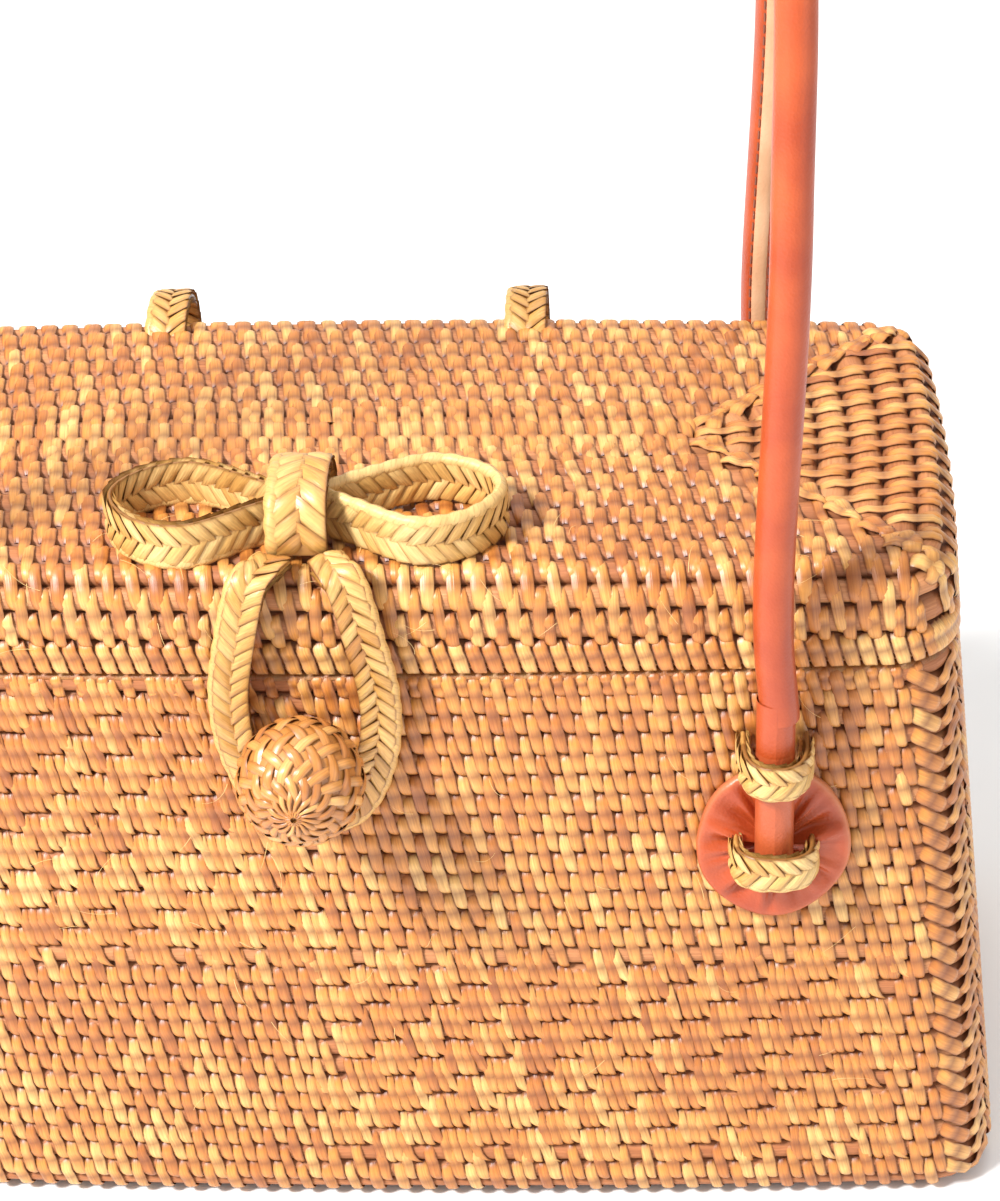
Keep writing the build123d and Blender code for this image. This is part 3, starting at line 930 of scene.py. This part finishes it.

# %% [markdown]
# ## The closing loop
# It leaves the knot as two tails, bends over the lid's edge, opens out, and
# closes behind the ball. It is one band, so it is one route down and back up.
# Its tails stay with the knot while the rest swings up; here the whole
# piece is built as one fixed mesh.

# %% Closing loop
loop_low, loop_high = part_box("closing_loop")
loop_half = loop_high.x
loop_front = loop_low.y + band / 2
loop_top = loop_high.z - band / 2
loop_back = loop_high.y
bend = 7 * MM
drop = loop_top - loop_low.z
tail = [
    (0.25, loop_back - 1 * MM, loop_top, 0, 1),
    (0.34, loop_back - 5 * MM, loop_top, 0, 1),
    (0.50, loop_front + 0.29 * bend, loop_top - 0.29 * bend, -0.7, 0.7),
    (0.66, loop_front, loop_top - 0.22 * drop, -1, 0),
    (0.78, loop_front, loop_top - 0.45 * drop, -1, 0),
    (0.72, loop_front, loop_top - 0.68 * drop, -1, 0),
    (0.42, loop_front, loop_low.z + 6 * MM, -1, 0),
]
foot = [(0.0, loop_front, loop_low.z + 3 * MM, -1, 0)]
whole_loop = [(-x, y, z, ny, nz) for x, y, z, ny, nz in tail] + foot + tail[::-1]
points = [(x * loop_half, y, z) for x, y, z, ny, nz in whole_loop]
faces = [(0, ny, nz) for x, y, z, ny, nz in whole_loop]
closing = plait(
    "closing_loop_plait", smooth_route(points, faces, 12), 8 * MM, band, 130,
    cord_edge=1, widths=([0, 0.4, 0.5, 0.6, 1], [1, 1, 0.6, 1, 1]),
)
closing.data.materials.append(deep_straw)
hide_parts("closing_loop")
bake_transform(closing)

# %% [markdown]
# ## The hinge loops
# Two plaited loops tie the lid to the back wall and show as small arches
# above the lid's back edge.

# %% Hinge loops
for hand in ("left", "right"):
    low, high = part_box(f"hinge_loop_{hand}")
    x = (low.x + high.x) / 2
    cy, cz = (low.y + high.y) / 2, (low.z + high.z) / 2
    hy, hz = (high.y - low.y) / 2 - band / 2, (high.z - low.z) / 2 - band / 2
    ring = [(math.cos(t), math.sin(t)) for t in np.linspace(0, 2 * math.pi, 13)[:-1]]
    squared = [(np.sign(c) * abs(c) ** 0.75, np.sign(s) * abs(s) ** 0.85) for c, s in ring]
    points = [(x, cy + hy * c, cz + hz * s) for c, s in squared]
    route = smooth_route(points, [(0, c, s) for c, s in ring], 8, closed=True)
    piece = plait(f"hinge_plait_{hand}", route, high.x - low.x - 1 * MM, band, 140, cord_edge=1)
    place_piece(piece, "lid", "straw_braid", deep_straw, f"hinge_loop_{hand}")

# %% [markdown]
# ## The ball button
# The ball is woven from narrow glossy ribbons over a core, in two sets that
# wind round it opposite ways and pass over and under each other, gathered
# where they meet at the front. Each ribbon is drawn as its own winding line.

# %% Ball
ball_low, ball_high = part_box("ball_button")
ball_centre = np.array((ball_low + ball_high) / 2)
ball_radius = (ball_high.x - ball_low.x) / 2
ribbons = 16
wind = 0.75
theta = np.linspace(0.05, math.pi - 0.05, 90)
patches = []
rng = np.random.default_rng(150)


def ball_direction(polar, turn):
    """From the ball's middle, polar away from the front and turned about it."""
    return np.stack([np.sin(polar) * np.cos(turn), -np.cos(polar), np.sin(polar) * np.sin(turn)], -1)


for hand in (-1, 1):
    for k in range(ribbons):
        first = 2 * math.pi * k / ribbons
        weave = hand * np.cos(wind * theta * ribbons)
        phi = first + hand * wind * theta
        a = np.linspace(-1, 1, 5)[None, :]
        girth_share = 2 * math.pi * ball_radius * np.sin(theta) / ribbons
        spread = np.clip(0.36 * girth_share, 0.3 * MM, 1.5 * MM)[:, None]
        turn = phi[:, None] + a * spread / (ball_radius * np.maximum(np.sin(theta)[:, None], 0.08))
        height = ball_radius - 0.75 * MM + 0.36 * MM * weave[:, None] - 0.3 * MM * np.abs(a) ** 3
        polar = theta[:, None] + 0 * turn
        place = ball_centre + ball_direction(polar, turn) * height[..., None]
        patches.append((place, (a + 1) / 2, 0.5, rng.beta(2.2, 1.8)))
polar, turn = np.meshgrid(np.linspace(0, math.pi, 24), round_turn(40), indexing="ij")
core = ball_centre + (ball_radius - 1.25 * MM) * ball_direction(polar, turn)
patches.append((core, 0.5, 0.5, 0.35))
make_piece("ball_weave", patches, "basket", "button_weave", button_finish, "ball_button")

# %% Stem
stem_low, stem_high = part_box("button_stem")
stem_radius = (stem_high.x - stem_low.x) / 2
stem_rings = 16
turn = round_turn(17)
ripple = (stem_radius * (0.94 + 0.06 * np.cos(np.arange(stem_rings) * math.pi)))[:, None]
stem_line = np.linspace(stem_low, stem_high, stem_rings)
stem_line[:, 0] = (stem_low.x + stem_high.x) / 2
stem_line[:, 2] = (stem_low.z + stem_high.z) / 2
stem = rings(stem_line, AXIS_X, AXIS_Z, ripple * np.cos(turn), ripple * np.sin(turn))
stem_patch = (stem, turn / 7, 0.5, 0.5)
make_piece("stem_wraps", [stem_patch], "basket", "button_weave", button_finish, "button_stem")

# %% [markdown]
# ## Leather
# The straps are rolled from a strip of soft coral leather and sewn along the
# side that faces the bag, and each ends in a flat round piece that is drawn
# together under its ties. The colour drifts a little, the grain is fine, and
# the cut edge and the neck of the roll are paler. The point's first number
# holds how raw a place is, so that the pale edge follows the shape.

# %% Leather finish
def grain_group():
    tree = bpy.data.node_groups.new("Leather grain", "ShaderNodeTree")
    sockets(tree, [("Grain", 1500.0)], ["Drift", "Raw", "Height"])
    enter, leave = tree.nodes.new("NodeGroupInput"), tree.nodes.new("NodeGroupOutput")
    coords = tree.nodes.new("ShaderNodeTexCoord")
    cells = tree.nodes.new("ShaderNodeTexVoronoi")
    tree.links.new(coords.outputs["Object"], cells.inputs["Vector"])
    tree.links.new(enter.outputs["Grain"], cells.inputs["Scale"])
    drift = noise_node(tree, coords.outputs["Object"], 60.0, 6.0)
    raw = strip_numbers(tree)[0]
    tree.links.new(drift, leave.inputs["Drift"])
    tree.links.new(math_node(tree, "MULTIPLY", raw, 1.0, clamp=True), leave.inputs["Raw"])
    height = math_node(tree, "ADD", cells.outputs["Distance"], math_node(tree, "MULTIPLY", drift, 0.6))
    tree.links.new(height, leave.inputs["Height"])
    return tree


leather_grain = grain_group()


def leather_material(name, low, high, raw, rough):
    """Smooth leather between two colours, with a third where it is raw."""
    material, tree, grain = new_material(name, leather_grain, Grain=1500.0)
    drift, raw_share, height = grain.outputs
    colour = ramp_node(tree, [(0.34, low), (0.66, high)], drift)
    colour = mix_colour(tree, "MIX", raw_share, colour, raw)
    finish_skin(tree, colour, drift, height, (rough - 0.07, rough + 0.1), (0.28, 0.0002), (0.08, 0.4))
    return material


coral = leather_material(
    "coral_leather", (0.36, 0.048, 0.010), (0.48, 0.082, 0.018), (0.62, 0.24, 0.11), 0.38
)
raw_strip = leather_material(
    "raw_leather_strip", (0.55, 0.30, 0.16), (0.68, 0.42, 0.25), (0.7, 0.45, 0.3), 0.62
)
thread = leather_material("dark_thread", (0.16, 0.05, 0.03), (0.26, 0.08, 0.045), (0.3, 0.1, 0.05), 0.6)

# %% [markdown]
# ## The straps
# Each strap is a smooth arch that stands nearly upright and leans in over the
# bag, so its centre line comes from the same few heights that the frame has,
# and the tube, the raw seam strip and its two rows of stitches all follow it.

# %% Strap line
strap_radius = 4.25 * MM
seam_angle = 0.42
stitch_angle = 0.52
stitch_pitch = 3.1 * MM


def strap_line(side):
    """The centre line of a strap, from its left bend to its right one."""
    low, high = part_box("front_handle" if side < 0 else "back_handle")
    foot_z = low.z + strap_radius
    rise = high.z - strap_radius - foot_z
    outer_y = -low.y - strap_radius if side < 0 else high.y - strap_radius
    inner_y = -(high.y - strap_radius) if side < 0 else low.y + strap_radius
    lean = outer_y - inner_y
    spread = high.x - strap_radius - 0.5 * MM
    straight = rise * 8 / 13
    half = [(spread, 0), (spread, straight / 5), (spread + 0.5 * MM, straight * 0.7)]
    for degrees in (15, 42, 68):
        t = math.radians(degrees)
        half.append((spread * math.cos(t), straight + (rise - straight) * math.sin(t)))
    bow_heights = np.array([0, 45, 110, 150, 230]) * MM
    bowed = np.interp([h for x, h in half], bow_heights, [0, -2.4, 0.4, 2.4, 1.5])
    half = [(x + sag * MM, h) for (x, h), sag in zip(half, bowed)]
    route = [(-x, h) for x, h in half] + [(0, rise)] + half[::-1]
    points = [(x, side * (outer_y - lean * (h / rise) ** 2), foot_z + h) for x, h in route]
    return smooth_route(points, [(0, -side, 0)] * len(points), 18)


def tube(route, radius, raw=0.0):
    """A round rod along a route."""
    across, turn = np.cross(route["ahead"], route["look"]), round_turn(21)
    grid = rings(route["line"], route["look"], across, radius * np.cos(turn), radius * np.sin(turn))
    return grid, raw, 0.5, 0.5


# %% Straps, seams and stitches
for side, where in ((-1, "front"), (1, "back")):
    body = f"{where}_handle"
    route = strap_line(side)
    make_piece(f"strap_{where}", [tube(route, strap_radius)], body, "leather", coral, body)
    s = np.linspace(6 * MM, route["length"][-1] - 6 * MM, 420)
    place, look, across = along_route(route, s)
    a = np.linspace(-1, 1, 7)
    lip = strap_radius * np.cos(a * seam_angle) + 0.16 * MM - 0.2 * MM * (np.abs(a) > 0.9)
    strip = rings(place, look, across, lip, strap_radius * np.sin(a * seam_angle))
    make_piece(f"strap_seam_{where}", [(strip, 0, 0.5, 0.5)], body, "leather", raw_strip)
    starts = np.arange(8 * MM, route["length"][-1] - 8 * MM, stitch_pitch)
    run = np.linspace(-1, 1, 5)
    stitches = []
    for angle in (-stitch_angle, stitch_angle):
        s = starts[:, None] + run * 1.1 * MM
        place, look, across = along_route(route, s)
        arch = strap_radius + 0.1 * MM - 0.25 * MM * run**4
        centre = (
            place
            + look * (arch * math.cos(angle))[:, None]
            + across * (strap_radius * math.sin(angle))
        )
        turn, ring = round_turn(6), 0.28 * MM
        stitch = rings(centre, look, across, ring * np.cos(turn), ring * np.sin(turn))
        stitches.append((stitch, 0, 0.5, 0.5))
    make_piece(f"strap_stitches_{where}", stitches, body, "leather", thread)

# %% [markdown]
# ## Leather ends, necks and ties
# A round end is a disc whose skin is gathered towards the core, so its wrinkles
# fan out from the middle. The core stands on it and carries on into the
# strap, and the short neck between them bends when the strap swings; here
# that neck is one fixed mesh. Each tie is a plait that comes out
# of the wall, goes round the leather, and goes back in.

# %% Ends, necks and ties
end_half_tall = 19.1 * MM
tie_inset = 1.7 * MM
fold_waves = ((7, 0.5), (12, 0.6), (19, 0.45), (29, 0.25))
tie_shape = [(-1.0, 0.02), (-1.0, 0.4), (-0.86, 0.74), (-0.48, 0.95), (0, 1.0)]
tie_shape += [(-a, b) for a, b in tie_shape[-2::-1]]
for side, where in ((-1, "front"), (1, "back")):
    for sign, hand in ((-1, "left"), (1, "right")):
        label = f"{where}_{hand}"
        low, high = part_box(f"leather_end_{label}")
        x, r = (low.x + high.x) / 2, (high.x - low.x) / 2
        z = low.z + end_half_tall * 0.997
        face = 0 if side < 0 else 2
        u = np.array([x if side < 0 else -x])
        back = lift(wall_surface, face, u, np.array([z]), np.array([0.3 * MM]))[0]
        out = slope(wall_surface, face, u, np.array([z]))[0]
        right = np.cross([0, 0, 1.0], out)
        right /= np.linalg.norm(right)
        up = np.cross(out, right)
        rng = np.random.default_rng(170 + side + 3 * sign)
        share = np.concatenate([np.linspace(0, 0.9, 16), [0.95, 0.985, 1.0, 1.0, 0.97]])
        rise = np.concatenate([np.full(16, 1.0), [0.97, 0.86, 0.6, 0.15, 0.0]]) * 2.5 * MM
        turn = round_turn(97)
        folds = sum(amount * np.sin(k * turn + rng.uniform(0, 6.28)) for k, amount in fold_waves)
        strength = np.clip(share * 2.2, 0, 1) * np.clip((1.0 - share) * 2.4, 0, 1)
        height = rise[:, None] + strength[:, None] * folds[None, :] * 1.7 * MM
        edge = 1 + 0.012 * np.sin(5 * turn + rng.uniform(0, 6)) * (share[:, None] > 0.8)
        flat_x = share[:, None] * r * edge * np.cos(turn)
        flat_y = share[:, None] * end_half_tall * edge * np.sin(turn)
        disc = back + flat_x[..., None] * right + flat_y[..., None] * up + height[..., None] * out
        raw = np.clip((share[:, None] - 0.93) * 12, 0, 1) * (0.55 + 0.45 * np.cos(turn - 0.8))
        strap_y = (low.y + strap_radius) if side < 0 else (high.y - strap_radius)
        core_top = high.z - strap_radius
        core_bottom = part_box(f"lower_tie_{label}")[0].z + 2.3 * MM
        core_points = [(x, strap_y, h) for h in np.linspace(core_bottom, core_top + 1 * MM, 9)]
        core_route = smooth_route(core_points, [(0, side, 0)] * 9, 4)
        core_tube = tube(core_route, strap_radius, raw=0.12)
        end = [(disc, raw, 0.5, 0.5), core_tube]
        make_piece(f"leather_round_{label}", end, "basket", "leather", coral, f"leather_end_{label}")

        bend_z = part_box(f"{where}_handle")[0].z + strap_radius
        neck_points = [(x, strap_y, h) for h in np.linspace(core_top - 3 * MM, bend_z + 5 * MM, 8)]
        neck_route = smooth_route(neck_points, [(0, side, 0)] * 8, 4)
        neck = grid_mesh(f"neck_{label}", [tube(neck_route, strap_radius - 0.05 * MM)])
        neck.data.materials.append(coral)
        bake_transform(neck)

        for level in ("upper", "lower"):
            tie_low, tie_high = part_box(f"{level}_tie_{label}")
            mid = (tie_low.z + tie_high.z) / 2
            tall = tie_high.z - tie_low.z
            half_x = (tie_high.x - tie_low.x) / 2 - tie_inset
            near = tie_high.y if side < 0 else tie_low.y
            far = (tie_low.y + tie_inset) if side < 0 else (tie_high.y - tie_inset)
            depth = far - near
            points = [(x + half_x * a, near + depth * b, mid) for a, b in tie_shape]
            faces = [(a, side * max(b - 0.2, 0.0), 0) for a, b in tie_shape]
            tie = plait(
                f"tie_{level}_{label}", smooth_route(points, faces, 8), tall - 0.8 * MM, 3 * MM,
                180 + (level == "upper"), leaf_pitch=3.0 * MM, cord_edge=1,
            )
            place_piece(tie, "basket", "straw_braid", straw_finish, f"{level}_tie_{label}")

# %% [markdown]
# ## Loose fibres
# Split vine always sheds a few hair-thin fibres that stand off the weave. A
# few dozen of them, each a fine bent thread, keep the surface from looking
# too clean.

# %% Loose fibres
def loose_fibres(name, surface, side, body, node, u_range, v_range, count, seed):
    rng = np.random.default_rng(seed)
    threads = []
    for _ in range(count):
        u, v = rng.uniform(*u_range), rng.uniform(*v_range)
        turn, size = rng.uniform(0, 2 * math.pi), rng.uniform(4, 10) * MM
        t = np.linspace(0, 1, 9)
        bent = rng.normal(0, 0.35)
        path_u = u + size * t * np.cos(turn + bent * t)
        path_v = v + size * t * np.sin(turn + bent * t)
        rise = (0.2 + rng.uniform(0.6, 2.0) * np.sin(math.pi * t * 0.8)) * MM
        middle = lift(surface, side, path_u, path_v, rise)
        ring = round_turn(5)
        thin = (0.07 * MM * (1 - 0.6 * t))[:, None]
        grid = rings(middle, AXIS_X, AXIS_Z, thin * np.cos(ring), thin * np.sin(ring))
        threads.append((grid, 0.5, 0.5, 0.9))
    place_weave(name, threads, body, straw_finish, node)


loose_fibres("fibres_front", wall_surface, 0, "basket", "basket_body", (-0.12, 0.12), (0.02, 0.135), 46, 200)
loose_fibres("fibres_lid", lid_surface, 0, "lid", "lid", (-0.11, 0.11), (0.004, 0.045), 34, 201)

# %% [markdown]
# ## Floor, light and camera
# The bag stands on a plain pale floor that runs up into the background. One
# large soft light comes from the upper left and another fills the right, and
# the camera looks down at the front from a little to the right of the middle
# with a long lens. It stands where the basket's own edges say it should.

# %% Floor
stage = bpy.data.meshes.new("studio_floor")
floor_back = 1.6
floor_bend = 0.8
profile = [(-3.0, 0.0), (floor_back, 0.0)]
for k in range(1, 13):
    t = k / 12 * math.pi / 2
    profile.append((floor_back + floor_bend * math.sin(t), floor_bend * (1 - math.cos(t))))
profile.append((floor_back + floor_bend, 4.0))
verts = [(x, y, z) for y, z in profile for x in (-4.0, 4.0)]
stage.from_pydata(verts, [], [(2 * i, 2 * i + 1, 2 * i + 3, 2 * i + 2) for i in range(len(profile) - 1)])
floor = bpy.data.objects.new("studio_floor", stage)
bpy.context.scene.collection.objects.link(floor)
for polygon in stage.polygons:
    polygon.use_smooth = True
paper = bpy.data.materials.new("pale_paper")
paper.use_nodes = True
tree = paper.node_tree
speck = tree.nodes.new("ShaderNodeTexNoise")
speck.inputs["Scale"].default_value = 40.0
paper_colour = ramp_node(tree, [(0.3, (0.90, 0.90, 0.89)), (0.7, (0.94, 0.94, 0.935))], speck.outputs[0])
tree.links.new(paper_colour, tree.nodes["Principled BSDF"].inputs["Base Color"])
tree.nodes["Principled BSDF"].inputs["Roughness"].default_value = 0.8
stage.materials.append(paper)

# %% Lights
def soft_light(name, place, aim, size, power):
    data = bpy.data.lights.new(name, "AREA")
    data.size = size
    data.energy = power
    light = bpy.data.objects.new(name, data)
    light.location = place
    light.rotation_euler = (Vector(aim) - Vector(place)).to_track_quat("-Z", "Y").to_euler()
    bpy.context.scene.collection.objects.link(light)


soft_light("key_light", (-0.8, -0.7, 1.2), (0, 0, 0.15), 0.3, 42)
soft_light("fill_light", (1.2, -0.9, 0.7), (0, 0, 0.12), 1.0, 4.5)
soft_light("top_light", (0.1, 0.5, 1.6), (0, 0, 0.15), 0.9, 7)
world = bpy.data.worlds.new("studio")
world.use_nodes = True
world.node_tree.nodes["Background"].inputs[0].default_value = (1, 1, 1, 1)
world.node_tree.nodes["Background"].inputs[1].default_value = 0.62
bpy.context.scene.world = world

# %% Camera
camera_data = bpy.data.cameras.new("camera")
camera_data.sensor_fit = "HORIZONTAL"
camera_data.sensor_width = 36
camera_data.lens = 109.188
camera = bpy.data.objects.new("camera", camera_data)
bpy.context.scene.collection.objects.link(camera)
yaw, pitch, roll = math.radians(4.07), math.radians(32.4), math.radians(-2.39)
camera.location = (0.0812, -0.6032, 0.5067)
ahead = Vector((-math.sin(yaw) * math.cos(pitch), math.cos(yaw) * math.cos(pitch), -math.sin(pitch)))
right = Vector((math.cos(yaw), math.sin(yaw), 0))
up = right.cross(ahead)
rolled_right = right * math.cos(roll) + up * math.sin(roll)
rolled_up = up * math.cos(roll) - right * math.sin(roll)
camera.rotation_euler = Matrix((rolled_right, rolled_up, -ahead)).transposed().to_euler()
camera_data.clip_start = 0.01
bpy.context.scene.camera = camera
bpy.context.scene.view_settings.view_transform = "Standard"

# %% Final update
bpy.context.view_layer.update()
